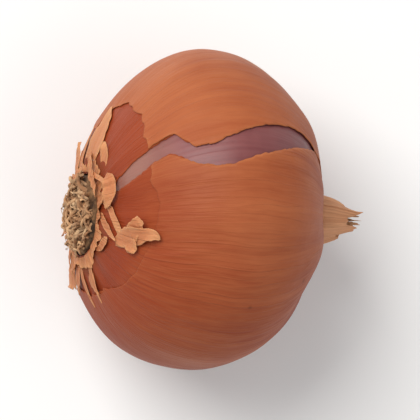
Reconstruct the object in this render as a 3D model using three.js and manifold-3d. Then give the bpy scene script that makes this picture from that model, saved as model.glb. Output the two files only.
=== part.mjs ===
// A round shallot, dried and trimmed for sale, lying on its side on a small flat spot.
//
// The bulb and its tight dry skin grew as one piece, with the short dried neck at one end.
// The corky root crown, with its dried rootlets, sits in a shallow seat at the other end.
//
// Bulb frame: +X runs along the bulb from the roots to the neck, with the origin at the
// middle of the flesh. A place on the skin is given by two angles. "along" is 0 at the
// roots and 180 at the neck. "round" is 0 at the top of the lying bulb and grows towards +Y.
// The whole bulb is then tilted, turned a little and set down with its flat spot on z = 0.
import * as THREE from "three";
import { mergeVertices } from "three/addons/utils/BufferGeometryUtils.js";
import Module from "manifold-3d";

const wasm = await Module();
wasm.setup();

// Driving dimensions, in millimetres and degrees.
const GIRTH_RADIUS = 22; // half the widest girth
const HALF_LENGTH = 16.5; // half the flesh, from root end to shoulder
const SHOULDER_FULLNESS = 0.95; // under 1 makes the ends blunter than an ellipsoid's
const NECK_TIP = 21; // how far the trimmed neck reaches from the middle
const NECK_ROOT_RADIUS = 3.6;
const NECK_TIP_RADIUS = 2.1;
const NECK_BLEND = 6; // how softly shoulder runs into neck
const NECK_HOLLOW = 0.9; // how deep the trimmed end has dried in
const SHOULDER_PLACE = 0.93; // of the half length, where the skin starts to run up the neck
const AXIS_TILT = 14; // the root end is raised by this much
const AXIS_TURN = -3.3; // and the bulb is turned by this much, seen from above
const ROOT_SWAY = -1.4; // the root end grew this far to one side
const CENTRE_HEIGHT = 20.7; // of the bulb's middle over the surface
const FLAT_BLEND = 0.4; // how softly the belly runs into the flat spot
const SKIN_STEP = 0.35; // how far a layer of dry skin stands over the one under it
const SPLIT_DEPTH = 0.5; // of the split that shows the flesh
const EDGE_RUN = 0.12; // how far a torn edge leans over its height
const COLLAR_ALONG = 24; // where the torn collar round the roots ends
const COLLAR_TEAR = 3; // how ragged its edge is
const OUTER_TEAR = 1.6; // and how ragged the outermost skin's edge is
const SEAT_RADIUS = 5.9; // of the shallow seat that the root crown sits in
const SEAT_DEPTH = 1.5;
const CROWN_GAP = 0.3; // between the root crown and its seat
const CROWN_RADIUS = 5.35;
const CROWN_RISE = 0.9; // how far the crown stands out of its seat

const SKIN_COLUMNS = 64;
const COLLAR_ROWS = 2;
const BARE_ROWS = 5;
const BODY_ROWS = 19;
const NECK_ROWS = 9;

const COPPER_SKIN = "#c47a52";
const ROOT_TAN = "#a5865e";

const radians = THREE.MathUtils.degToRad;

// Where the dry skin has split: along, round and half the width of the opening in mm.
const SPLIT = [
  [24, 14, 0.1],
  [36, 21.5, 1.1],
  [47, 26.5, 1.25],
  [56, 28.5, 1.35],
  [61, 24, 1.0],
  [66, 21, 1.1],
  [74, 21, 1.5],
  [82, 22.8, 2.0],
  [92, 25.8, 2.0],
  [102, 28, 1.9],
  [115, 31.5, 1.5],
  [128, 34, 0.7],
  [138, 36, 0.1],
];

// Where the outermost skin is torn away round the roots: round, and along at the torn edge.
const OUTER_EDGE = [
  [-180, 40],
  [-150, 46],
  [-120, 37],
  [-90, 33],
  [-60, 36],
  [-35, 42],
  [-8, 51],
  [5, 51],
  [17, 46],
  [37, 42],
  [66, 42],
  [96, 45],
  [125, 58],
  [150, 47],
  [180, 40],
];

// Curled scraps of torn skin: along and round where they are rooted, the way they point
// (0 is towards the neck, 90 is towards growing round), length, width and how far they curl up.
const SCRAPS = [
  { along: 31, round: -6, heading: 10, length: 5.4, width: 4.4, curl: 34 },
  { along: 38, round: -22, heading: 30, length: 6.2, width: 4.6, curl: 26 },
  { along: 23, round: 26, heading: 100, length: 4.6, width: 3.8, curl: 58 },
  { along: 22, round: 72, heading: 20, length: 4.2, width: 3.6, curl: 40 },
  { along: 25, round: 128, heading: -20, length: 5.0, width: 4.2, curl: 36 },
  { along: 24, round: 182, heading: 25, length: 4.2, width: 4.0, curl: 30 },
  { along: 27, round: -128, heading: -15, length: 5.2, width: 4.4, curl: 38 },
  { along: 25, round: -70, heading: 15, length: 4.4, width: 3.8, curl: 44 },
];

// The frayed ends of the dry skins at the neck: round, length, width and outward lean.
const NECK_STRANDS = [
  { round: 14, length: 4.6, width: 3.2, lean: 7 },
  { round: 84, length: 3.6, width: 2.8, lean: 16 },
  { round: 150, length: 4.9, width: 3.0, lean: 2 },
  { round: 226, length: 3.3, width: 2.8, lean: 20 },
  { round: 298, length: 4.2, width: 3.0, lean: 9 },
];
const STRAND_CURL = 14;
const BLADE_THICKNESS = 0.62; // of scraps and frayed ends

const ROOTLETS = 46;
const ROOTLET_RADIUS = 0.38;
const ROOTLET_BEND = 0.35; // how far a rootlet bends over, in lengths
const ROOTLET_SUNK = 0.7;
const SHORTEST_ROOTLET = 1.7;
const LONGEST_ROOTLET = 3.4;
const ROOTLET_SEED = 11;

// A repeatable random draw between 0 and 1.
function seeded(seed) {
  let state = seed;
  return () => {
    state = (state + 0x6d2b79f5) | 0;
    let t = Math.imul(state ^ (state >>> 15), 1 | state);
    t = (t + Math.imul(t ^ (t >>> 7), 61 | t)) ^ t;
    return ((t ^ (t >>> 14)) >>> 0) / 4294967296;
  };
}

// Smooth interpolation in a table whose first column grows, column by column.
function lookUp(table, x, column) {
  if (x <= table[0][0]) return table[0][column];
  const last = table.length - 1;
  if (x >= table[last][0]) return table[last][column];
  const i = table.findIndex((row) => row[0] > x) - 1;
  const share = (x - table[i][0]) / (table[i + 1][0] - table[i][0]);
  return THREE.MathUtils.lerp(table[i][column], table[i + 1][column], share * share * (3 - 2 * share));
}

// The larger of two values, rounded over where they meet.
function smoothMax(a, b, reach) {
  const h = Math.max(reach - Math.abs(a - b), 0) / reach;
  return Math.max(a, b) + (h * h * reach) / 4;
}

// Irregular tearing, in degrees: a sum of waves that don't repeat round the bulb together.
function ragged(round, size) {
  return (
    size *
    (0.5 * Math.sin(3 * round + 0.7) +
      0.35 * Math.sin(7 * round + 2.1) +
      0.3 * Math.sin(12 * round + 4.4) +
      0.22 * Math.sin(19 * round + 1.3))
  );
}

// Degrees between -180 and 180.
function wrapped(degrees) {
  return THREE.MathUtils.euclideanModulo(degrees + 180, 360) - 180;
}

// How far the flesh is from its axis at x along it: an ellipsoid with blunt ends, run into the neck.
function girthAt(x) {
  const share = Math.min(1, Math.abs(x) / HALF_LENGTH);
  const flesh = GIRTH_RADIUS * Math.pow(1 - share * share, SHOULDER_FULLNESS / 2);
  if (x < 0) return flesh;
  const taper = THREE.MathUtils.smoothstep(x, 0.8 * HALF_LENGTH, NECK_TIP);
  const neck = THREE.MathUtils.lerp(NECK_ROOT_RADIUS, NECK_TIP_RADIUS, taper);
  return smoothMax(flesh, neck, NECK_BLEND);
}

// How far the middle of the bulb's section is to one side at x.
function swayAt(x) {
  return ROOT_SWAY * THREE.MathUtils.smoothstep(-x, 0.15 * HALF_LENGTH, HALF_LENGTH);
}

// Bulbs grow a little out of round, with faint ribs and pleats drawn in at the neck.
function outOfRound(x, round) {
  const swell = 0.014 * Math.cos(2 * (round - 0.6)) + 0.008 * Math.cos(3 * round + 1.9);
  const ribs = 0.0028 * Math.cos(11 * round + 0.4) + 0.002 * Math.cos(17 * round);
  const drawnIn = THREE.MathUtils.smoothstep(x, 0.55 * HALF_LENGTH, 1.15 * HALF_LENGTH);
  const pleats = 0.09 * Math.cos(5 * round + 0.12 * x) + 0.06 * Math.cos(9 * round - 0.2 * x);
  return 1 + swell + ribs + drawnIn * pleats;
}

const tilt = radians(AXIS_TILT);
const up = new THREE.Vector3(-Math.sin(tilt), 0, Math.cos(tilt));

// Lets the belly down onto the flat spot: nothing stays under the surface that it lies on.
function settle(point) {
  const height = point.dot(up) + CENTRE_HEIGHT;
  return point.addScaledVector(up, smoothMax(height, 0, FLAT_BLEND) - height);
}

// The point at x along the bulb and an angle round it.
function fleshPoint(x, round) {
  const r = girthAt(x) * outOfRound(x, round);
  return new THREE.Vector3(x, r * Math.sin(round) + swayAt(x), r * Math.cos(round));
}

// The same, from the angle along the bulb, lifted square to the skin.
function bulbPoint(along, round, lift) {
  const slope = new THREE.Vector3(
    -Math.cos(along) / HALF_LENGTH,
    (Math.sin(along) * Math.sin(round)) / GIRTH_RADIUS,
    (Math.sin(along) * Math.cos(round)) / GIRTH_RADIUS,
  ).normalize();
  const point = fleshPoint(-HALF_LENGTH * Math.cos(along), round);
  return settle(point.addScaledVector(slope, lift));
}

// A closed surface from rings of points, each ring going the same way round, with a point at each end.
function closedRings(rings, firstPoint, lastPoint) {
  const count = rings[0].length;
  const points = [firstPoint, ...rings.flat(), lastPoint];
  const at = (ring, column) => 1 + ring * count + (column % count);
  const faces = [];
  for (let c = 0; c < count; c++) {
    faces.push(0, at(0, c), at(0, c + 1));
    for (let k = 0; k + 1 < rings.length; k++) {
      faces.push(at(k, c), at(k + 1, c), at(k, c + 1));
      faces.push(at(k + 1, c), at(k + 1, c + 1), at(k, c + 1));
    }
    faces.push(at(rings.length - 1, c), points.length - 1, at(rings.length - 1, c + 1));
  }
  return new THREE.BufferGeometry().setFromPoints(points).setIndex(faces);
}

// A closed mesh as a solid that can be joined and cut, and back.
function solidOf(geometry) {
  const bare = geometry.clone();
  bare.deleteAttribute("normal");
  bare.deleteAttribute("uv");
  const merged = mergeVertices(bare, 1e-4);
  return new wasm.Manifold(
    new wasm.Mesh({
      numProp: 3,
      vertProperties: new Float32Array(merged.attributes.position.array),
      triVerts: new Uint32Array(merged.index.array),
    }),
  );
}

function geometryOf(solid) {
  const { vertProperties, triVerts } = solid.getMesh();
  const geometry = new THREE.BufferGeometry();
  geometry.setAttribute("position", new THREE.BufferAttribute(vertProperties, 3));
  geometry.setIndex(new THREE.BufferAttribute(triVerts, 1));
  geometry.computeVertexNormals();
  return geometry;
}

// The angles round the bulb of one ring's points: five across the split, then the skin between its lips.
function ringAngles(along) {
  const degrees = THREE.MathUtils.radToDeg(along);
  const centre = radians(lookUp(SPLIT, degrees, 1));
  const girth = GIRTH_RADIUS * Math.sin(along);
  const half = Math.max(lookUp(SPLIT, degrees, 2), 2 * EDGE_RUN) / girth;
  const lip = EDGE_RUN / girth;
  const across = [centre - half, centre - half + lip, centre, centre + half - lip];
  const skin = [];
  for (let i = 0; i < SKIN_COLUMNS; i++)
    skin.push(centre + half + (i / SKIN_COLUMNS) * (2 * Math.PI - 2 * half));
  return { angles: [...across, ...skin], acrossCount: across.length };
}

// How deep the split is at a ring: none where its lips meet.
function splitDepth(along) {
  const half = lookUp(SPLIT, THREE.MathUtils.radToDeg(along), 2);
  return half > 2 * EDGE_RUN ? SPLIT_DEPTH : 0;
}

// One ring of the bulb. alongAt gives the angle along for an angle round, and lift is the skin's.
function bulbRing(alongAt, lift) {
  const middle = alongAt(radians(lookUp(SPLIT, 60, 1)));
  const { angles, acrossCount } = ringAngles(middle);
  return angles.map((round, column) => {
    const inSplit = column >= 1 && column < acrossCount;
    const along = alongAt(round);
    return bulbPoint(along, round, inSplit ? lift - splitDepth(middle) : lift);
  });
}

const seatAlong = Math.asin(SEAT_RADIUS / GIRTH_RADIUS);
const seatX = -HALF_LENGTH * Math.cos(seatAlong);
const shoulderX = SHOULDER_PLACE * HALF_LENGTH;

// The edges between the layers of dry skin, as the angle along the bulb for an angle round it.
const seatRim = () => seatAlong;
const collarEdge = (round) => radians(COLLAR_ALONG + ragged(round + 1, COLLAR_TEAR));
const outerEdge = (round) => {
  const degrees = wrapped(THREE.MathUtils.radToDeg(round));
  return radians(lookUp(OUTER_EDGE, degrees, 1) + ragged(round, OUTER_TEAR));
};
const shoulder = () => Math.acos(-SHOULDER_PLACE);
const past = (edge) => (round) => edge(round) + EDGE_RUN / GIRTH_RADIUS;

// The rings of one layer of skin, from one of its edges to the other.
function layerRings(from, to, rows, lift) {
  const rings = [];
  for (let i = 0; i <= rows; i++)
    rings.push(bulbRing((round) => THREE.MathUtils.lerp(from(round), to(round), i / rows), lift));
  return rings;
}

// The bulb: seat, torn collar, bare under skin, outermost skin, neck.
function bulbSolid() {
  const inwards = new THREE.Vector3(SEAT_DEPTH, 0, 0);
  const seatWall = bulbRing(seatRim, SKIN_STEP).map((point) => point.add(inwards));
  const { angles } = ringAngles(shoulder());
  const neck = [];
  for (let i = 1; i <= NECK_ROWS; i++) {
    const x = THREE.MathUtils.lerp(shoulderX + SKIN_STEP, NECK_TIP, i / NECK_ROWS);
    neck.push(angles.map((round) => fleshPoint(x, round)));
  }
  const rings = [
    seatWall,
    ...layerRings(seatRim, collarEdge, COLLAR_ROWS, SKIN_STEP),
    ...layerRings(past(collarEdge), outerEdge, BARE_ROWS, 0),
    ...layerRings(past(outerEdge), shoulder, BODY_ROWS, SKIN_STEP),
    ...neck,
  ];
  const seatFloor = new THREE.Vector3(seatX + SEAT_DEPTH, ROOT_SWAY, 0);
  const neckEnd = new THREE.Vector3(NECK_TIP - NECK_HOLLOW, 0, 0);
  return solidOf(closedRings(rings, seatFloor, neckEnd));
}

// A blade of dry skin: it leaves its root along "forward" and bends up towards "normal". Each ring
// goes once round it, outer face and then inner face, so both are split into triangles alike.
function bladeSolid({ origin, forward, across, normal, length, width, curl }) {
  const STEPS = 6;
  const SIDES = [-1, -0.5, 0, 0.5, 1];
  const rings = [];
  for (let i = 0; i <= STEPS; i++) {
    const s = i / STEPS;
    const bend = radians(curl) * s;
    const face = normal.clone().multiplyScalar(Math.cos(bend)).addScaledVector(forward, -Math.sin(bend));
    const middle = origin.clone().addScaledVector(forward, length * s * Math.cos(bend / 2));
    middle.addScaledVector(normal, length * s * Math.sin(bend / 2) - 0.5 * BLADE_THICKNESS);
    const half = (width / 2) * Math.max(0.2, Math.sin(Math.PI * (0.2 + 0.75 * s)));
    const lean = 0.16 * half * Math.sin(7 * s + length);
    const pointAt = (side, out) => {
      const cup = half * (0.3 * side * side * s + 0.1 * Math.sin(5 * s + 3 * side + width));
      const point = middle.clone().addScaledVector(across, side * half + lean);
      return point.addScaledVector(face, cup + out * BLADE_THICKNESS);
    };
    const outer = SIDES.map((side) => pointAt(side, 0.5));
    const inner = SIDES.map((side) => pointAt(-side, -0.5));
    rings.push([...outer, ...inner]);
  }
  return solidOf(closedRings(rings, middleOf(rings[0]), middleOf(rings[STEPS])));
}

function middleOf(ring) {
  return ring.reduce((sum, point) => sum.add(point), new THREE.Vector3()).divideScalar(ring.length);
}

// The bulb's own directions at a place on its skin: towards the neck, round it, and out of it.
function directionsAt(along, round) {
  const STEP = 0.02;
  const origin = bulbPoint(along, round, 0);
  const towardsNeck = bulbPoint(along + STEP, round, 0).sub(origin).normalize();
  const roundIt = bulbPoint(along, round + STEP, 0).sub(origin).normalize();
  const normal = new THREE.Vector3().crossVectors(towardsNeck, roundIt).normalize();
  return { origin, towardsNeck, roundIt, normal };
}

function scrapSolid({ along, round, heading, length, width, curl }) {
  const { origin, towardsNeck, roundIt, normal } = directionsAt(radians(along), radians(round));
  const turn = radians(heading);
  const forward = towardsNeck.multiplyScalar(Math.cos(turn)).addScaledVector(roundIt, Math.sin(turn));
  forward.addScaledVector(normal, 0.12).normalize();
  const across = new THREE.Vector3().crossVectors(normal, forward).normalize();
  const face = new THREE.Vector3().crossVectors(forward, across);
  return bladeSolid({ origin, forward, across, normal: face, length, width, curl });
}

function neckStrandSolid({ round, length, width, lean }) {
  const turn = radians(round);
  const outward = new THREE.Vector3(0, Math.sin(turn), Math.cos(turn));
  const forward = new THREE.Vector3(1, 0, 0).addScaledVector(outward, Math.tan(radians(lean))).normalize();
  const across = new THREE.Vector3().crossVectors(outward, forward).normalize();
  const normal = new THREE.Vector3().crossVectors(forward, across);
  const origin = new THREE.Vector3(NECK_TIP - 1.6, 0, 0).addScaledVector(outward, 0.72 * NECK_TIP_RADIUS);
  return bladeSolid({ origin, forward, across, normal, length, width, curl: STRAND_CURL });
}

// The corky crown: a low lumpy button in the seat, of rings round the bulb's axis.
function crownButton() {
  const floorX = seatX + SEAT_DEPTH - CROWN_GAP;
  const radius = CROWN_RADIUS;
  const profile = [
    [floorX, radius * 0.9],
    [seatX + 0.2, radius],
    [seatX - CROWN_RISE * 0.5, radius * 0.93],
    [seatX - CROWN_RISE, radius * 0.7],
    [seatX - CROWN_RISE * 1.15, radius * 0.4],
  ];
  const COLUMNS = 18;
  const rings = profile.map(([x, girth], k) => {
    const ring = [];
    for (let c = 0; c < COLUMNS; c++) {
      const round = -(c / COLUMNS) * 2 * Math.PI;
      const lump = k < 2 ? 0 : 0.05 * Math.cos(5 * round + k) + 0.04 * Math.cos(8 * round - 2 * k);
      const r = girth * (1 + lump);
      ring.push(new THREE.Vector3(x, r * Math.sin(round), r * Math.cos(round)));
    }
    return ring;
  });
  const floor = new THREE.Vector3(floorX, 0, 0);
  const top = new THREE.Vector3(seatX - CROWN_RISE * 1.05, 0, 0);
  return solidOf(closedRings(rings, floor, top));
}

// A dried rootlet: a three-sided tapering hair, sunk in the crown and bent over sideways.
function rootletSolid(start, direction, sideways, length) {
  const STEPS = 4;
  const first = new THREE.Vector3().crossVectors(direction, sideways).normalize();
  const second = new THREE.Vector3().crossVectors(first, direction);
  const rings = [];
  for (let i = 0; i <= STEPS; i++) {
    const s = i / STEPS;
    const centre = start.clone().addScaledVector(direction, length * s);
    centre.addScaledVector(sideways, length * ROOTLET_BEND * s * s);
    const r = ROOTLET_RADIUS * (1 - 0.55 * s);
    const corners = [0, 1, 2].map((corner) => {
      const turn = (corner / 3) * 2 * Math.PI;
      const point = centre.clone().addScaledVector(first, r * Math.cos(turn));
      return point.addScaledVector(second, r * Math.sin(turn));
    });
    rings.push(corners);
  }
  return solidOf(closedRings(rings, middleOf(rings[0]), middleOf(rings[STEPS])));
}

// The rootlets stand all over the crown in a sunflower's order, and spread like a worn brush.
function rootCrownSolid() {
  const random = seeded(ROOTLET_SEED);
  const goldenTurn = Math.PI * (3 - Math.sqrt(5));
  const sunkX = seatX - CROWN_RISE + ROOTLET_SUNK;
  let crown = crownButton();
  for (let i = 0; i < ROOTLETS; i++) {
    const share = Math.sqrt((i + 0.5) / ROOTLETS);
    const round = i * goldenTurn;
    const outward = new THREE.Vector3(0, Math.sin(round), Math.cos(round));
    const around = new THREE.Vector3(0, Math.cos(round), -Math.sin(round));
    const start = new THREE.Vector3(sunkX, 0, 0).addScaledVector(outward, 0.84 * CROWN_RADIUS * share);
    const direction = new THREE.Vector3(-1, 0, 0).addScaledVector(outward, share * (0.55 + 0.5 * random()));
    direction.addScaledVector(around, 0.8 * (random() - 0.5)).normalize();
    const sideways = outward.clone().multiplyScalar(0.1 + 0.4 * random());
    sideways.addScaledVector(around, random() - 0.5).normalize();
    const length = THREE.MathUtils.lerp(SHORTEST_ROOTLET, LONGEST_ROOTLET, random());
    crown = crown.add(rootletSolid(start, direction, sideways, length));
  }
  return crown;
}

function bulbWithScraps() {
  let bulb = bulbSolid();
  for (const scrap of SCRAPS) bulb = bulb.add(scrapSolid(scrap));
  for (const strand of NECK_STRANDS) bulb = bulb.add(neckStrandSolid(strand));
  return bulb;
}

function namedMesh(name, solid, colour, roughness) {
  const material = new THREE.MeshStandardMaterial({ color: colour, roughness, metalness: 0 });
  const mesh = new THREE.Mesh(geometryOf(solid), material);
  mesh.name = name;
  return mesh;
}

const lying = new THREE.Group();
lying.rotation.set(0, tilt, radians(AXIS_TURN), "ZYX");
lying.position.set(0, 0, CENTRE_HEIGHT);
lying.add(namedMesh("bulb", bulbWithScraps(), COPPER_SKIN, 0.45));
const rootCrown = namedMesh("root_crown", rootCrownSolid(), ROOT_TAN, 0.9);
rootCrown.position.y = ROOT_SWAY;
lying.add(rootCrown);

// The origin is on the surface, under the middle of the whole shallot.
const shallot = new THREE.Group();
shallot.add(lying);
const middle = new THREE.Box3().setFromObject(shallot, true).getCenter(new THREE.Vector3());
lying.position.x -= middle.x;
lying.position.y -= middle.y;
export default shallot;
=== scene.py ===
"""A round shallot in its dry copper skin, lying on its side with the root end a little raised.

Lengths in the shape functions are in millimetres and in the bulb's own frame: +X from the roots to
the neck, with the origin in the middle of the flesh. A place on the bulb is (along, around, lift).
along is 0 at the roots and pi at the tip of the neck, around is 0 at the top and grows towards +Y,
and lift is the height over the flesh, square to it. placed() turns the bulb as it lies and gives
metres in the frame.
"""
import itertools
import bpy
import numpy as np
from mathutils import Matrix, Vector


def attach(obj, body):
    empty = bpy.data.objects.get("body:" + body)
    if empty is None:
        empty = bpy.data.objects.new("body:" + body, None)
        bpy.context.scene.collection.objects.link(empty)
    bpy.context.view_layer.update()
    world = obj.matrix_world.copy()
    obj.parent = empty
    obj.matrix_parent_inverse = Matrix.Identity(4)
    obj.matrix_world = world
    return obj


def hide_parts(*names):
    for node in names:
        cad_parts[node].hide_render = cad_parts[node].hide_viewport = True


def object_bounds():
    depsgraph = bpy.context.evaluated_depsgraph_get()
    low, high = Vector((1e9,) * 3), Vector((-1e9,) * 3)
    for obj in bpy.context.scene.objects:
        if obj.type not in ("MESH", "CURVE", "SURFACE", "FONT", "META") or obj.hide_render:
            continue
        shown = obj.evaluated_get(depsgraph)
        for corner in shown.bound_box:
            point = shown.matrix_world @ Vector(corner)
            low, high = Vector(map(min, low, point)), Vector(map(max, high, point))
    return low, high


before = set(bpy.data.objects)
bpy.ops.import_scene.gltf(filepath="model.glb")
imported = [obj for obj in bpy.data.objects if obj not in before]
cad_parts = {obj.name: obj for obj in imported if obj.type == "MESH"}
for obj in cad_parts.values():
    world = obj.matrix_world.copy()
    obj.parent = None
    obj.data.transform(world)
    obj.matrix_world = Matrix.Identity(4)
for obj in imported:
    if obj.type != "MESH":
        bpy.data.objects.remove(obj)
CAD_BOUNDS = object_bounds()

# The bulb's measures, as in the solid model, in millimetres and degrees.
GIRTH_RADIUS = 22.0
HALF_LENGTH = 16.5
SHOULDER_FULLNESS = 0.95
NECK_TIP = 21.0
NECK_ROOT_RADIUS = 3.6
NECK_TIP_RADIUS = 2.1
NECK_BLEND = 6.0
SHOULDER_PLACE = 0.93
AXIS_TILT = 14.0
AXIS_TURN = -3.3
ROOT_SWAY = -1.4
MIDDLE = np.array([-1.987, -0.196, 20.7])
FLAT_BLEND = 0.4
SKIN_LIFT = 0.30
SEAT_RADIUS = 5.9
SEAT_DEPTH = 1.5
CROWN_RADIUS = 5.35
CROWN_RISE = 0.9
MM = 0.001

# The layers: how high the outer faces of the scale and the inner skin are, the skins' thickness,
# how far the outer skin dips at the split's lips, and how far it draws in past the neck's tip.
FLESH_LIFT = 0.0
UNDER_LIFT = 0.14
SKIN_THICKNESS = 0.08
LIP_DIP = 0.07
NECK_DRAW = 1.3

# Where the dry skin has split: along and around its middle in degrees, half its width in mm.
# Past both of its ends the skin's edges overlap, which is half a width under zero.
SPLIT = np.array([
    (12, 20.0, -0.3), (20, 21.0, -0.3), (24, 22.0, 0.15), (27, 23.0, 0.80), (36, 26.6, 1.22),
    (47, 29.9, 1.22), (54, 30.4, 1.26), (57, 29.5, 1.67), (60, 26.3, 1.35), (65, 22.5, 1.08),
    (74, 21.2, 1.47), (82, 22.6, 1.96), (92, 25.6, 1.92), (102, 28.0, 1.90), (115, 31.3, 1.53),
    (128, 34.0, 0.80), (136, 35.5, 0.10), (144, 36.5, -0.35), (180, 38.0, -0.35),
])  # fmt: skip

# Where the outermost skin is torn away round the roots: around, and along at the torn edge.
OUTER_EDGE = np.array([
    (-180, 33), (-172, 41), (-160, 43), (-147, 40), (-142, 55), (-138, 70), (-134, 50), (-126, 34),
    (-112, 27), (-90, 27), (-72, 31), (-55, 30), (-38, 37), (-22, 43), (-8, 47), (6, 48), (20, 45),
    (37, 43.5), (48, 45.5), (56, 43), (66, 45.5), (80, 41.5), (88, 36), (98, 31), (110, 34),
    (118, 46), (123, 53), (128, 44), (140, 41), (158, 46), (170, 39), (180, 33),
])  # fmt: skip

# Torn shreds of skin that lie on the bulb or stand off it. Each is a path from its root to its
# tip, with rows of along and around in degrees, and half its width, its height over the flesh and
# the rise of its left side in mm.
SHREDS = [
    # The oval lobe beside the roots, the strap that holds it and the tongue next to it.
    [(24.1, 36.3, 0.10, 0.9, 0.0), (25.6, 30.5, 0.75, 1.1, -0.2), (26.0, 25.5, 0.95, 1.2, -0.3),
     (25.5, 17.8, 0.95, 1.2, -0.3), (24.1, 11.5, 0.65, 1.0, -0.2), (21.3, 6.1, 0.05, 0.8, 0.0)],
    [(20.9, 88.1, 0.30, 0.4, 0.0), (18.4, 67.4, 0.40, 0.8, 0.0), (16.6, 56.5, 0.40, 1.0, 0.0),
     (18.1, 45.3, 0.32, 1.0, 0.0), (21.3, 34.0, 0.32, 1.1, 0.0), (24.1, 26.8, 0.40, 1.1, 0.0)],
    [(16.6, 62.0, 0.30, 0.7, 0.0), (16.3, 57.0, 0.85, 0.9, 0.1), (16.0, 44.8, 0.75, 0.9, 0.2),
     (16.3, 31.3, 0.50, 0.9, 0.1), (15.2, 21.9, 0.05, 0.8, 0.0)],
    # The crumpled flake further up: its body, and the lobes to its two sides.
    [(27.0, -19.0, 0.50, 0.1, 0.0), (30.5, -16.0, 0.90, 0.40, 0.0), (34.4, -12.5, 1.45, 0.7, 0.2),
     (39.5, -10.6, 1.40, 0.9, 0.35), (43.6, -8.8, 0.95, 1.0, 0.1), (47.0, -8.0, 0.80, 1.2, -0.1),
     (49.6, -8.8, 0.62, 1.2, -0.1), (51.0, -10.6, 0.10, 0.9, 0.0)],
    [(35.0, -13.0, 0.90, 0.5, 0.0), (37.3, -9.8, 1.15, 0.9, 0.1), (39.6, -6.0, 1.05, 1.2, 0.3),
     (41.4, -2.8, 0.90, 1.4, 0.2), (42.4, -1.2, 0.70, 1.4, 0.0)],
    [(32.5, -13.0, 0.80, 0.35, 0.0), (35.5, -14.6, 1.15, 0.6, 0.0), (38.6, -16.6, 1.00, 0.75, 0.0),
     (40.6, -18.2, 0.45, 0.8, 0.0)],
    # Strips that still lie along the bulb, root end first.
    [(16.5, 20.0, 0.30, 0.1, 0.0), (18.8, 17.0, 0.35, 0.3, 0.0), (22.7, 7.4, 0.45, 0.4, 0.0),
     (27.0, -3.4, 0.60, 0.45, 0.0), (30.9, -11.9, 0.45, 0.4, 0.0)],
    [(15.9, 2.9, 0.35, 0.1, 0.0), (20.6, -6.1, 0.55, 0.4, 0.0), (24.5, -12.8, 0.50, 0.45, 0.0),
     (28.7, -17.8, 0.06, 0.45, 0.0)],
    [(17.0, -40.0, 0.25, 0.1, 0.0), (20.6, -31.8, 0.45, 0.45, 0.0), (22.7, -21.0, 0.60, 0.6, 0.0),
     (24.0, -17.0, 0.06, 0.6, 0.0)],
    [(15.5, 116.0, 0.60, 0.1, 0.0), (20.0, 116.0, 0.70, 0.34, 0.0), (25.9, 114.0, 0.65, 0.36, 0.0),
     (35.0, 106.0, 0.06, 0.36, 0.0)],
    [(15.5, 88.0, 1.50, 0.1, 0.0), (20.0, 86.0, 2.10, 0.34, 0.0), (25.5, 84.5, 2.50, 0.36, 0.0),
     (31.5, 85.5, 2.20, 0.36, 0.0), (36.5, 89.0, 1.20, 0.36, 0.0), (41.0, 91.0, 0.08, 0.4, 0.0)],
    [(15.0, 131.0, 0.50, 0.1, 0.0), (22.1, 128.0, 0.50, 0.34, 0.0), (28.0, 122.0, 0.06, 0.36, 0.0)],
    [(15.5, -98.0, 0.50, 0.1, 0.0), (24.5, -88.6, 0.60, 0.34, 0.0), (35.1, -85.4, 0.06, 0.36, 0.0)],
    [(15.5, -64.7, 0.40, 0.1, 0.0), (24.4, -67.5, 0.50, 0.34, 0.0), (34.7, -72.3, 0.06, 0.36, 0.0)],
]

# Curled scraps of torn skin: along and around their root, heading (0 is to the neck, 90 is round
# the bulb), length, width and curl.
SCRAPS = [
    (21, 52, 35, 3.2, 1.8, 26), (23, 142, -20, 5.0, 3.4, 22), (22, 182, 25, 4.2, 3.2, 30),
    (24, -128, -15, 5.2, 3.6, 28), (20, -74, 15, 4.2, 2.4, 14),
]  # fmt: skip

# The frayed ends of the skins at the neck: around, how far they reach past the neck's tip in mm,
# and how wide they are in radians.
NECK_STRANDS = [(14, 3.6, 0.5), (78, 1.6, 0.26), (138, 3.2, 0.45), (196, 1.8, 0.22), (236, 1.4, 0.3),
                (300, 2.7, 0.52)]


def ease(value, low, high):
    """0 below low, 1 above high, and a third-power S between them."""
    share = np.clip((value - low) / (high - low), 0, 1)
    return share * share * (3 - 2 * share)


def smooth_max(a, b, reach):
    """The larger of two values, rounded over where they are less than reach apart."""
    overlap = np.maximum(reach - np.abs(a - b), 0) / reach
    return np.maximum(a, b) + overlap * overlap * reach / 4


NOISE_CELLS = 32


def noise(points, seed):
    """Smooth noise from -1 to 1: random values on a lattice of unit cubes, blended between the
    eight corners round each point by a fifth-power ease."""
    values = np.random.default_rng(seed).uniform(-1, 1, (NOISE_CELLS,) * 3)
    cell = np.floor(points).astype(int)
    share = points - cell
    share = share**3 * (share * (share * 6 - 15) + 10)
    total = 0.0
    for corner in itertools.product((0, 1), repeat=3):
        weight = np.prod(np.where(corner, share, 1 - share), axis=-1)
        i, j, k = np.moveaxis((cell + corner) % NOISE_CELLS, -1, 0)
        total = total + weight * values[i, j, k]
    return total


def rough_noise(points, seed, octaves=3):
    """Noise with finer and fainter noise on top: each octave is twice as fine and half as high."""
    return sum(noise(points * 2**k, seed + k) / 2**k for k in range(octaves))


def streaks(along, around, count, stretch, seed):
    """Noise drawn out from root to neck, with about count ups and downs round the bulb."""
    radius = count / np.pi
    way = [radius * np.cos(around), radius * np.sin(around), along * stretch]
    return noise(np.stack(np.broadcast_arrays(*way), -1), seed)


def circle_noise(around, count, seed, octaves=3):
    """Rough noise along a closed circle, with about count ups and downs round it."""
    radius = count / np.pi
    way = [radius * np.cos(around), radius * np.sin(around), np.full_like(around, 0.5)]
    return rough_noise(np.stack(way, -1), seed, octaves)


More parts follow.
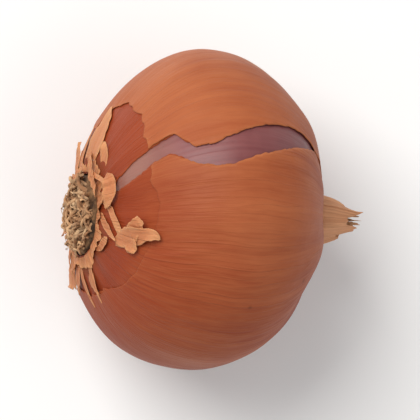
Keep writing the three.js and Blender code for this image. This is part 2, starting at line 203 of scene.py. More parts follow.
def way_noise(along, scale, seed, octaves=3):
    """Rough noise that changes only from root to neck, scale cells to a radian."""
    way = [along * scale, np.full_like(along, 0.5), np.full_like(along, 0.5)]
    return rough_noise(np.stack(way, -1), seed, octaves)


shoulder_x = SHOULDER_PLACE * HALF_LENGTH
shoulder_along = np.arccos(-SHOULDER_PLACE)
seat_along = np.arcsin(SEAT_RADIUS / GIRTH_RADIUS)
seat_x = -HALF_LENGTH * np.cos(seat_along)
tilt = np.radians(AXIS_TILT)
turn = np.radians(AXIS_TURN)
UP = np.array([-np.sin(tilt), 0, np.cos(tilt)])


def x_at(along):
    """An ellipsoid's place along its axis up to the shoulder, and a straight line up the neck."""
    up_neck = (along - shoulder_along) / (np.pi - shoulder_along)
    return np.where(
        along < shoulder_along,
        -HALF_LENGTH * np.cos(np.minimum(along, shoulder_along)),
        shoulder_x + up_neck * (NECK_TIP - shoulder_x),
    )


def girth_at(x):
    """The flesh's radius: an ellipsoid with blunt ends, run into the tapering neck by smooth_max."""
    share = np.minimum(1, np.abs(x) / HALF_LENGTH)
    flesh = GIRTH_RADIUS * (1 - share * share) ** (SHOULDER_FULLNESS / 2)
    taper = ease(x, 0.8 * HALF_LENGTH, NECK_TIP)
    neck = NECK_ROOT_RADIUS + (NECK_TIP_RADIUS - NECK_ROOT_RADIUS) * taper
    return np.where(x < 0, flesh, smooth_max(flesh, neck, NECK_BLEND))


def sway_at(x):
    """How far the middle of the section is to one side: the root end grew a little off centre."""
    return ROOT_SWAY * ease(-x, 0.15 * HALF_LENGTH, HALF_LENGTH)


def out_of_round(x, around):
    """The girth's factor: two slow swells, faint ribs, and pleats that are drawn in at the neck."""
    swell = 0.014 * np.cos(2 * (around - 0.6)) + 0.008 * np.cos(3 * around + 1.9)
    ribs = 0.0028 * np.cos(11 * around + 0.4) + 0.002 * np.cos(17 * around)
    pleats = 0.09 * np.cos(5 * around + 0.12 * x) + 0.06 * np.cos(9 * around - 0.2 * x)
    return 1 + swell + ribs + ease(x, 0.55 * HALF_LENGTH, 1.15 * HALF_LENGTH) * pleats


def bulb_relief(along, around):
    """Millimetres of unevenness that every layer shares: shallow dents, soft pleats that run from
    root to neck, and puckers round the root."""
    girth = np.sin(np.clip(along, 0, np.pi))
    dents = noise(np.stack(np.broadcast_arrays(2.6 * np.cos(along), 2.2 * girth * np.sin(around),
                                               2.2 * girth * np.cos(around)), -1) + 7, 3)
    pleats = 0.06 * streaks(along, around, 15, 0.6, 5) + 0.018 * streaks(along, around, 40, 1.0, 6)
    puckers = 0.16 * streaks(along, around, 26, 0.5, 8) * (1 - ease(along, 0.3, 0.75))
    return girth * (0.16 * dents + pleats) + puckers * ease(along, 0.15, 0.3)


def bulb_point(along, around, lift, rest=0.0):
    """The point of the bulb at (along, around, lift). The lift goes along the meridian's normal.
    Nothing stays lower than rest over the surface it lies on: the flat spot's smooth_max."""
    along, around, lift = np.broadcast_arrays(along, around, lift)
    step = 1e-3
    x = x_at(along)
    dx = x_at(along + step) - x
    dr = girth_at(x_at(along + step)) - girth_at(x)
    size = np.hypot(dx, dr)
    lift = lift + bulb_relief(along, around)
    radius = girth_at(x) * out_of_round(x, around) + lift * dx / size
    x = x - lift * dr / size
    points = np.stack([x, radius * np.sin(around) + sway_at(x), radius * np.cos(around)], -1)
    return settled(points, rest)


def settled(points, rest=0.0):
    """Points lifted so that none is lower than rest over the surface that the bulb lies on."""
    height = points @ UP + MIDDLE[2] - rest
    return points + UP * (smooth_max(height, 0, FLAT_BLEND) - height)[..., None]


def placed(points):
    """Bulb frame in mm to the row frame in metres: tilted about Y, turned about Z, and moved."""
    x, y, z = np.moveaxis(np.asarray(points, float), -1, 0)
    x, z = x * np.cos(tilt) + z * np.sin(tilt), z * np.cos(tilt) - x * np.sin(tilt)
    x, y = x * np.cos(turn) - y * np.sin(turn), x * np.sin(turn) + y * np.cos(turn)
    return (np.stack([x, y, z], -1) + MIDDLE) * MM


def grid_faces(rows, columns, first=0, wraps=False):
    """Quads of a grid of points, facing along x around. wraps joins the last column to the first."""
    row = np.arange(rows - 1)[:, None]
    column = np.arange(columns if wraps else columns - 1)[None, :]
    beside = (column + 1) % columns
    corners = [row * columns + column, (row + 1) * columns + column,
               (row + 1) * columns + beside, row * columns + beside]
    return first + np.stack(corners, -1).reshape(-1, 4)


def rim_faces(outer, inner, wraps=False):
    """Quads between two lines of point numbers, outer and inner."""
    if wraps:
        outer, inner = np.append(outer, outer[0]), np.append(inner, inner[0])
    return np.stack([outer[:-1], outer[1:], inner[1:], inner[:-1]], -1)


def shell(outside, inside, wraps=False):
    """A closed sheet between two grids of points: both faces and the rims between them.
    Gives its points and quads."""
    rows, columns = outside.shape[:2]
    count = rows * columns
    number = np.arange(count).reshape(rows, columns)
    faces = [grid_faces(rows, columns, wraps=wraps), grid_faces(rows, columns, count, wraps)[:, ::-1],
             rim_faces(number[0], number[0] + count, wraps),
             rim_faces(number[-1], number[-1] + count, wraps)[:, ::-1]]
    if not wraps:
        faces += [rim_faces(number[:, 0], number[:, 0] + count)[:, ::-1],
                  rim_faces(number[:, -1], number[:, -1] + count)]
    return np.concatenate([outside.reshape(-1, 3), inside.reshape(-1, 3)]), np.concatenate(faces)


def capped(rings):
    """A closed surface of rings of points (rings x columns), with a middle point at each end.
    Gives its points and faces, the ends' triangles having their last corner twice."""
    rows, columns = rings.shape[:2]
    number = np.arange(columns)
    first, last = rows * columns, rows * columns + 1
    beside = (number + 1) % columns
    start = np.stack([np.full(columns, first), number, beside, beside], -1)
    end_row = (rows - 1) * columns
    end = np.stack([end_row + number, np.full(columns, last), end_row + beside, end_row + beside], -1)
    points = np.concatenate([rings.reshape(-1, 3), rings[:1].mean(1), rings[-1:].mean(1)])
    return points, np.concatenate([grid_faces(rows, columns, wraps=True), start, end])


def joined(parts):
    """Several (points, faces) as one."""
    offsets = np.cumsum([0] + [len(points) for points, _ in parts[:-1]])
    faces = np.concatenate([faces + offset for (_, faces), offset in zip(parts, offsets)])
    return np.concatenate([points for points, _ in parts]), faces


def make_piece(name, points, faces, material, slot, replaces=(), **attributes):
    """A smooth mesh piece from points in the bulb frame, with vector attributes for its material.
    A face whose last corner comes twice is a triangle."""
    mesh = bpy.data.meshes.new(name)
    faces = np.asarray(faces)
    triangle = faces[:, 2] == faces[:, 3]
    sizes = np.where(triangle, 3, 4)
    keep = np.ones(faces.shape, bool)
    keep[triangle, 3] = False
    mesh.vertices.add(len(points))
    mesh.vertices.foreach_set("co", placed(points).astype(np.float32).ravel())
    mesh.loops.add(int(sizes.sum()))
    mesh.loops.foreach_set("vertex_index", faces[keep].astype(np.int32))
    mesh.polygons.add(len(faces))
    loop_starts = np.concatenate([[0], np.cumsum(sizes)[:-1]])
    mesh.polygons.foreach_set("loop_start", loop_starts.astype(np.int32))
    mesh.polygons.foreach_set("use_smooth", np.ones(len(faces), bool))
    for key, values in attributes.items():
        layer = mesh.attributes.new(key, "FLOAT_VECTOR", "POINT")
        layer.data.foreach_set("vector", np.asarray(values, np.float32).ravel())
    mesh.update(calc_edges=True)
    mesh.validate()
    mesh.materials.append(material)
    piece = bpy.data.objects.new(name, mesh)
    bpy.context.scene.collection.objects.link(piece)
    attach(piece, "root")
    if replaces:
        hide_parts(*replaces)
    return piece


def way_of(along, around):
    """The attribute that patterns follow: cosine and sine of around, and along in radians."""
    along, around = np.broadcast_arrays(along, around)
    return np.stack([np.cos(around), np.sin(around), along], -1).reshape(-1, 3)


def wear_of(edge, soil, neck):
    """The attribute of wear from 0 to 1: nearness to a torn edge, to the roots and to the neck."""
    return np.stack(np.broadcast_arrays(edge, soil, neck), -1).reshape(-1, 3)


def twice(values):
    """An attribute for both faces of a shell."""
    return np.concatenate([values, values])


def outer_edge(around):
    """The torn edge of the outermost skin: its table, with ragged noise in two sizes."""
    degrees = np.degrees(around)
    degrees = (degrees + 180) % 360 - 180
    edge = np.interp(degrees, OUTER_EDGE[:, 0], OUTER_EDGE[:, 1])
    ragged = 1.5 * circle_noise(around, 11, 21) + 0.8 * circle_noise(around, 40, 24, 2)
    return np.radians(edge + ragged)


def split_lips(along, widen, seed):
    """The two edges of the split at along, in radians around: its table, widened by some mm, and
    frayed by noise. The upper lip comes first, and the lower one is a turn further."""
    degrees = np.degrees(along)
    middle = np.radians(np.interp(degrees, SPLIT[:, 0], SPLIT[:, 1]))
    half = np.interp(degrees, SPLIT[:, 0], SPLIT[:, 2]) + widen
    radius = np.maximum(girth_at(x_at(along)), 2.0)
    open_part = ease(half, 0, 0.6)
    upper = half + open_part * 0.16 * way_noise(along, 26, seed)
    lower = half + open_part * 0.16 * way_noise(along, 26, seed + 9)
    return middle + upper / radius, middle - lower / radius + 2 * np.pi


def neck_end(around, reach, seed):
    """Where a sheath of the neck ends, as along: past pi by its pointed strands and by noise."""
    strands = sum(
        length * np.exp(-((((around - np.radians(place) + np.pi) % (2 * np.pi)) - np.pi) / width) ** 2)
        for place, length, width in NECK_STRANDS
    )
    past_tip = reach + strands + 0.8 * circle_noise(around, 9, seed, 3)
    return np.pi + past_tip * (np.pi - shoulder_along) / (NECK_TIP - shoulder_x)


def low_side(around):
    """1 on the side that is low in the camera's picture, 0 on the high one: half a sine wave."""
    return 0.5 - 0.5 * np.sin(around - 0.1)


def crease_height(along, around):
    """A faint fold pressed into the skin from the crumpled flake on towards the neck: a ridge with
    the form of a bell curve across its line, fading at both ends."""
    degrees = np.degrees(along)
    line = np.radians(np.interp(degrees, [50, 53, 64, 78, 100], [-19, -18.1, -15.4, -12.6, -9]))
    off = (around - 2 * np.pi - line) * GIRTH_RADIUS * np.sin(along)
    return 0.11 * np.exp(-((off / 0.3) ** 2)) * ease(degrees, 48, 56) * (1 - ease(degrees, 74, 98))


def outer_skin(material):
    """The outermost dry skin: a sheet wrapped once round the bulb from lip to lip of the split and
    from its torn edge up the neck. along = edge + v (end - edge), around = upper lip + u (lower lip
    - upper lip). Its lift grows towards its edges by a fading exponential, as dry skin curls, dips
    by LIP_DIP at the lips in the same way, and falls by NECK_DRAW past the neck's tip."""
    rows, columns = 150, 330
    u = np.linspace(0, 1, columns)[None, :]
    v = np.linspace(0, 1, rows)[:, None]
    nominal = np.radians(26) + u * 2 * np.pi
    start, end = outer_edge(nominal), neck_end(nominal, -0.6, 31)
    along = start + v**1.12 * (end - start)
    upper, lower = split_lips(along, 0.08, 40)
    around = upper + u * (lower - upper)
    radius = girth_at(x_at(along))
    from_upper = (around - upper) * radius
    from_lower = (lower - around) * radius
    from_edge = (along - start) * GIRTH_RADIUS * 0.9
    to_neck = ease(x_at(along), 0.8 * HALF_LENGTH, NECK_TIP)
    curl = 0.03 + 0.16 * np.maximum(way_noise(along, 7, 51), 0)
    lip_curl = curl * (np.exp(-from_upper / 0.9) + 0.7 * np.exp(-from_lower / 0.7))
    edge_curl = 0.02 + 0.4 * np.maximum(circle_noise(around, 12, 53) - 0.25, 0)
    edge_curl = edge_curl * np.exp(-from_edge / 0.9)
    overlap = 0.12 * ease(along, 2.35, 2.5) * np.exp(-((from_upper / 3) ** 2))
    wrinkles = 0.02 * streaks(along, around, 70, 2.5, 55) * np.sin(np.clip(along, 0, np.pi))
    lift = SKIN_LIFT + (lip_curl + edge_curl) * (1 - to_neck) + overlap + wrinkles
    lift = lift + crease_height(along, around) - NECK_DRAW * ease(x_at(along), NECK_TIP - 2, NECK_TIP + 3)
    lift = lift - LIP_DIP * (1 - to_neck) * (np.exp(-from_upper / 0.8) + np.exp(-from_lower / 0.8))
    outside = bulb_point(along, around, lift)
    inside = bulb_point(along, around, lift - SKIN_THICKNESS, SKIN_THICKNESS)
    points, faces = shell(outside, inside)
    below = low_side(around)
    faded = np.clip(0.5 + circle_noise(around, 7, 57), 0, 1) * (1 - 0.8 * below)
    torn = np.maximum(faded * np.exp(-from_edge / 0.35),
                      0.5 * np.exp(-np.minimum(from_upper, from_lower) / 0.22))
    rusty = 0.8 * (1 - ease(along, 0.7, 1.7)) * np.minimum(0.2 + 1.4 * below, 1)
    make_piece("outer_skin", points, faces, material, "dry_skin", ["bulb"],
               way=twice(way_of(along, around)), wear=twice(wear_of(torn, rusty, to_neck)))


def under_skin(material):
    """The dry skin below, rust red where it is bare: the same sheet, lower, from the seat's rim to
    the girth, with its lips a little inside those of the outermost skin. Past the bare part its
    lips draw back under that skin."""
    rows, columns = 90, 300
    u = np.linspace(0, 1, columns)[None, :]
    v = np.linspace(0, 1, rows)[:, None]
    start, end = seat_along - 0.03, 1.5
    along = start + v * (end - start) + 0 * u
    upper, lower = split_lips(along, -0.07, 60)
    drawn_back = 0.9 * ease(along, 1.0, 1.25) / GIRTH_RADIUS
    upper, lower = upper + drawn_back, lower - drawn_back
    around = upper + u * (lower - upper)
    from_lip = np.minimum(around - upper, lower - around) * girth_at(x_at(along))
    overlap = 0.1 * (1 - ease(along, 0.36, 0.44)) * np.exp(-(((around - upper) * 9) ** 2))
    lift = UNDER_LIFT + overlap
    outside = bulb_point(along, around, lift, SKIN_THICKNESS + 0.05)
    inside = bulb_point(along, around, lift - SKIN_THICKNESS, 2 * SKIN_THICKNESS + 0.05)
    points, faces = shell(outside, inside)
    torn = np.maximum(0.5 * np.exp(-from_lip / 0.25), 0.8 * low_side(around) * ease(along, 0.5, 0.85))
    rooty = 1 - ease(along, 0.3, 0.6)
    make_piece("under_skin", points, faces, material, "dry_skin",
               way=twice(way_of(along, around)), wear=twice(wear_of(torn, rooty, 0)))


def flesh_scale(material):
    """The moist mauve scale that shows in the split: the bulb's own form at FLESH_LIFT, with the
    root crown's seat let into it by three rings that go straight in."""
    rows, columns = 130, 190
    around = np.linspace(0, 2 * np.pi, columns, endpoint=False)[None, :]
    along = np.linspace(seat_along, np.pi - 0.12, rows)[:, None] + 0 * around
    rings = bulb_point(along, around, FLESH_LIFT, 0.4)
    seat = rings[:1] + np.array([1, 0, 0]) * np.linspace(SEAT_DEPTH, 0.4, 3)[:, None, None]
    points, faces = capped(np.concatenate([seat, rings]))
    along = np.concatenate([np.repeat(along[:1], 3, 0), along])
    way = way_of(along, around + 0 * along)
    way = np.concatenate([way, [[0, 0, seat_along]], [[0, 0, np.pi]]])
    make_piece("flesh_scale", points, faces, material, "dry_skin", way=way)


def collar_skin(material):
    """The torn collar of pale skin round the roots: a short ring from the seat's rim to a ragged
    edge, flaring off the bulb by noise that grows with the square of the way to that edge."""
    rows, columns = 12, 400
    u = np.linspace(0, 2 * np.pi, columns, endpoint=False)[None, :]
    v = np.linspace(0, 1, rows)[:, None]
    end = np.radians(18.6 + 2.6 * circle_noise(u, 9, 71, 2) + 1.1 * circle_noise(u, 36, 75))
    along = seat_along - 0.02 + v * (end - seat_along + 0.02)
    flare = np.maximum(0.12 + 0.4 * circle_noise(u, 9, 78), 0)
    lift = SKIN_LIFT - 0.05 + flare * v * v + 0.08 * v * streaks(along, u + 0 * v, 40, 3, 79)
    outside = bulb_point(along, u, lift)
    inside = bulb_point(along, u, lift - SKIN_THICKNESS)
    points, faces = shell(outside, inside, wraps=True)
    torn = 0.2 + 0.6 * v**3 + 0 * u
    rooty = 1 - 0.4 * v + 0 * u
    make_piece("collar_skin", points, faces, material, "dry_skin",
               way=twice(way_of(along, u)), wear=twice(wear_of(torn, rooty, 0)))


SHRED_ROWS, SHRED_COLUMNS = 26, 13


def shred(path, seed):
    """A thin torn blade of skin along a path. Its middle line is the smoothed path on the bulb,
    across it the points are spread by t times half the width, frayed by noise. They rise by t times
    the path's last number, by t squared as a cup, and by crumpling noise. Gives its outer and
    inner grids of points."""
    path = np.array(path, float)
    knots = np.linspace(0, 1, len(path))
    s = np.linspace(0, 1, SHRED_ROWS)
    spread = 0.35 / (len(path) - 1)
    near = [np.clip(s + shift, 0, 1) for shift in np.linspace(-spread, spread, 7)]
    table = np.stack([np.mean([np.interp(each, knots, column) for each in near], 0) for column in path.T])
    along, around, half, lift, roll = table
    along, around = np.radians(along), np.radians(around)
    middle = bulb_point(along, around, lift)
    normal = bulb_point(along, around, lift + 0.5) - middle
    forward = np.gradient(middle, axis=0)
    across = np.cross(normal, forward)
    across = across / np.linalg.norm(across, axis=-1, keepdims=True)
    normal = np.cross(forward, across)
    normal = normal / np.linalg.norm(normal, axis=-1, keepdims=True)
    s, half, roll = s[:, None], half[:, None], roll[:, None]
    t = np.linspace(-1, 1, SHRED_COLUMNS)[None, :]
    sides = np.stack(np.broadcast_arrays(s * 7, np.sign(t) * 0.5 + 0.5, 0.5), -1)
    fray = 1 + 0.17 * np.abs(t) * rough_noise(sides, seed)
    folds = np.stack(np.broadcast_arrays(s * 4, t * 1.3, 0.5), -1)
    crumple = 0.2 * np.minimum(lift[:, None] - 0.25, half) * rough_noise(folds, seed + 5)
    rise = roll * t + 0.16 * np.minimum(half, lift[:, None]) * t * t + crumple
    outside = middle[:, None] + (half * t * fray)[..., None] * across[:, None]
    outside = outside + rise[..., None] * normal[:, None]
    return outside, outside - SKIN_THICKNESS * normal[:, None]


def scrap_path(along, around, heading, length, width, curl):
    """The path of a curled scrap: straight on the bulb in its heading, rising by length times s
    times the sine of half its curl, with a leaf's arch as its width."""
    s = np.linspace(0, 1, 7)
    heading = np.radians(heading)
    reach = np.degrees(s * length / GIRTH_RADIUS)
    lift = 0.1 + s * length * np.sin(np.radians(curl) * s / 2)
    half = width / 2 * np.sin(np.pi * (0.2 + 0.78 * s))
    sideways = around + reach * np.sin(heading) / np.sin(np.radians(along))
    return np.stack([along + reach * np.cos(heading), sideways, half, lift, 0.2 * s], -1)


def hidden_strips():
    """Paths of narrow strips round the hidden part of the root end, drawn at random."""
    random = np.random.default_rng(61)
    paths = []
    for around in np.arange(138, 262, 8.5):
        reach = random.uniform(4, 15)
        lean, half, lift = random.uniform(-9, 9), random.uniform(0.3, 0.8), random.uniform(0.35, 0.8)
        paths.append([(15.5, around, half, 0.1, 0), (15.5 + 0.5 * reach, around + 0.4 * lean, half, 0.38, 0),
                      (15.5 + reach, around + lean, 0.06, lift, 0)])
    return paths


def way_at(points):
    """way_of for points near the bulb's surface, from their own places."""
    x, y, z = np.moveaxis(points, -1, 0)
    y = y - sway_at(x)
    along = np.arctan2(np.hypot(y, z) / GIRTH_RADIUS, -x / HALF_LENGTH)
    return way_of(along, np.arctan2(y, z))


def skin_shreds(material):
    """All the torn shreds, scraps and strips round the root end, joined in one piece."""
    paths = SHREDS + [scrap_path(*row) for row in SCRAPS] + hidden_strips()
    walls = [shred(path, 90 + 11 * i) for i, path in enumerate(paths)]
    points, faces = joined([shell(outside, inside) for outside, inside in walls])
    s = np.repeat(np.linspace(0, 1, SHRED_ROWS)[:, None], SHRED_COLUMNS, 1)
    t = np.abs(np.linspace(-1, 1, SHRED_COLUMNS))[None, :]
    torn = np.maximum(ease(s, 0.5, 1.0), t**4) * 0.8
    wear = np.tile(twice(wear_of(torn, 0.5 * (1 - s), 0)), (len(paths), 1))
    make_piece("skin_shreds", points, faces, material, "dry_skin", way=way_at(points), wear=wear)


def neck_sheaths(material):
    """The dried leaf sheaths inside the neck: nested tubes, each smaller, twisted a little more
    and torn off elsewhere. radius = the neck's own radius times the tube's share, a crumpling
    noise, and a narrowing past the neck's tip where the dry ends draw together."""
    parts, ways, wears = [], [], []
    rows, columns = 34, 96
    for k, share in enumerate((0.84, 0.66, 0.46, 0.26)):
        u = np.linspace(0, 2 * np.pi, columns, endpoint=False)[None, :]
        v = np.linspace(0, 1, rows)[:, None]
        start = shoulder_along + 0.12
        end = neck_end(u + 1.9 * k, -0.5 + 0.3 * (k % 2), 81 + 5 * k)
        along = start + v * (end - start)
        x = x_at(along)
        around = u + 0.5 * v * (k + 1)
        crumple = 1 + 0.16 * streaks(along, around, 12, 1.5, 100 + k)
        drawn = 1 - 0.62 * ease(x, NECK_TIP - 2, NECK_TIP + 3)
        radius = girth_at(x) * out_of_round(x, around) * share * crumple * drawn
        outside = np.stack([x, radius * np.sin(around), radius * np.cos(around)], -1)
        squeeze = (radius - SKIN_THICKNESS) / radius
        inside = outside * np.stack([np.ones_like(squeeze), squeeze, squeeze], -1)
        parts.append(shell(outside, inside, wraps=True))
        ways.append(twice(way_of(along, around)))
        wears.append(twice(wear_of(v**6 + 0 * u, 0, 1)))
    points, faces = joined(parts)
    make_piece("neck_sheaths", points, faces, material, "dry_skin",
               way=np.concatenate(ways), wear=np.concatenate(wears))


def crown_height(rho, turned):
    """How far the crown's top stands out of its seat: a low dome with corky lumps."""
    places = np.stack(np.broadcast_arrays(rho * np.cos(turned) * 2.4, rho * np.sin(turned) * 2.4, 0.5), -1)
    return CROWN_RISE * (1.1 - 0.45 * rho**4) + 0.32 * rough_noise(places, 120, 4)


def root_crown(material):
    """The corky plate: rings out over its floor, up its side and in over its lumpy top."""
    columns = 150
    turned = -np.linspace(0, 2 * np.pi, columns, endpoint=False)[None, :]
    floor_x = seat_x + SEAT_DEPTH - 0.3
    side_lump = 1 + 0.05 * circle_noise(turned, 14, 125)
    rings = [(floor_x, 0.5, 0), (floor_x, 0.9, 0), (seat_x + 0.5, 0.97, 0), (seat_x, 1.0, 0)]
    tops = [(seat_x, rho, 1) for rho in np.linspace(0.985, 0.02, 46)]
    grid = []
    for x, rho, is_top in rings + tops:
        rise = is_top * crown_height(rho, turned) * min(1, (1 - rho) / 0.03 + 0.2)
        radius = CROWN_RADIUS * rho * (side_lump if rho > 0.6 else 1 + (side_lump - 1) * rho / 0.6)
        grid.append(np.stack([x - rise + 0 * radius, radius * np.sin(turned) + ROOT_SWAY,
                              radius * np.cos(turned)], -1)[0])
    points, faces = capped(np.array(grid))
    make_piece("root_crown_plate", points, faces, material, "root_cork", ["root_crown"],
               way=points * 0.3)


def rootlets(material):
    """The dried rootlets: tapering seven-sided tubes. Their roots are turned by the golden angle
    from one to the next, at the square root of a shuffled share, which fills the crown evenly. Each
    rises by a half sine of its length and goes off sideways with the 1.4th power of it, so it
    lies curled over on the crown. Those past thick_count are thin hairs."""
    count, thick_count, steps, sides = 180, 135, 12, 7
    random = np.random.default_rng(17)
    index = np.arange(count)
    share = np.sqrt((random.permutation(count) + 0.5) / count)
    turned = index * np.pi * (3 - np.sqrt(5)) + random.uniform(-0.1, 0.1, count)
    is_hair = index >= thick_count
    outward = np.stack([0 * turned, np.sin(turned), np.cos(turned)], -1)
    start = outward * (0.9 * CROWN_RADIUS * share)[:, None]
    start[:, 0] = seat_x - crown_height(share, turned) + 0.4
    start[:, 1] += ROOT_SWAY
    way_off = turned + random.choice([-1, 1], count) * random.uniform(0.9, 1.9, count)
    sideways = np.stack([0 * turned, np.sin(way_off), np.cos(way_off)], -1)
    rise = np.where(is_hair, random.uniform(0.6, 1.5, count), random.uniform(0.5, 1.3, count))
    length = random.uniform(0.7, 3.0, count)
    s = np.linspace(0, 1, steps)[None, :]
    path = start[:, None] + (length[:, None] * s**1.4)[..., None] * sideways[:, None]
    path[..., 0] -= rise[:, None] * np.sin(np.pi * 0.8 * s) + 0.3 * s * share[:, None]
    for axis in range(3):
        places = np.stack(np.broadcast_arrays(index[:, None] * 1.7, s * 3.5, axis * 5.5), -1)
        path[..., axis] += 0.3 * s * rough_noise(places, 131, 2)
    thick = np.where(is_hair, random.uniform(0.06, 0.1, count), random.uniform(0.2, 0.38, count))
    thick = thick[:, None] * (1 - 0.55 * s)
    forward = np.gradient(path, axis=1)
    forward = forward / np.linalg.norm(forward, axis=-1, keepdims=True)
    first = np.cross(forward, np.array([0.3, 0.2, 1.0]))
    first = first / np.linalg.norm(first, axis=-1, keepdims=True)
    second = np.cross(first, forward)
    angle = np.linspace(0, 2 * np.pi, sides, endpoint=False)
    wither = 1 + 0.22 * np.cos(2 * angle + index[:, None, None]) * np.ones((1, steps, 1))
    ring = first[:, :, None] * (np.cos(angle) * wither)[..., None]
    ring = ring + second[:, :, None] * (np.sin(angle) * wither)[..., None]
    tubes = path[:, :, None] + thick[..., None, None] * ring
    points, faces = joined([capped(tube) for tube in tubes])
    ways = np.repeat(random.uniform(0, 1, (count, 1)), steps * sides + 2, 0)
    make_piece("rootlets", points, faces, material, "root_cork", way=np.repeat(ways, 3, 1))


def srgb(red, green, blue):
    """A linear colour from one as a screen shows it, 0 to 255."""
    value = np.array([red, green, blue]) / 255
    linear = np.where(value > 0.04045, ((value + 0.055) / 1.055) ** 2.4, value / 12.92)
    return (*linear, 1.0)


def add_node(tree, kind, inputs=None, **settings):
    """A new node. An input given as a socket is linked, and one given as a value is set."""
    made = tree.nodes.new(kind)
    for key, value in settings.items():
        setattr(made, key, value)
    for key, value in (inputs or {}).items():
        if isinstance(value, bpy.types.NodeSocket):
            tree.links.new(value, made.inputs[key])
        else:
            made.inputs[key].default_value = value
    return made


def blend_colour(tree, share, first, second):
    """Colour mix, first where share is 0 and second where it is 1."""
    made = add_node(tree, "ShaderNodeMix", {0: share, 6: first, 7: second}, data_type="RGBA")
    return made.outputs[2]


def number(tree, operation, a, b=0.0, clamp=False):
    """One step of arithmetic on values."""
    made = add_node(tree, "ShaderNodeMath", {0: a, 1: b}, operation=operation, use_clamp=clamp)
    return made.outputs[0]


def ranged(tree, value, low, high, to_low=0.0, to_high=1.0):
    """A value brought from low..high to to_low..to_high and held there."""
    inputs = {"Value": value, "From Min": low, "From Max": high, "To Min": to_low, "To Max": to_high}
    return add_node(tree, "ShaderNodeMapRange", inputs).outputs[0]


def pattern(tree, vector, scale, detail=2.0, roughness=0.5):
    """A noise texture's value on a vector."""
    inputs = {"Vector": vector, "Scale": scale, "Detail": detail, "Roughness": roughness}
    return add_node(tree, "ShaderNodeTexNoise", inputs).outputs[0]


def stretched(tree, vector, factors):
    """A vector times a constant vector."""
    return add_node(tree, "ShaderNodeVectorMath", {0: vector, 1: factors}, operation="MULTIPLY").outputs[0]


def lines(tree, value, width):
    """1 on the line where a noise crosses its middle, 0 further off than width."""
    off = number(tree, "ABSOLUTE", number(tree, "SUBTRACT", value, 0.5))
    return ranged(tree, off, 0.0, width, 1.0, 0.0)


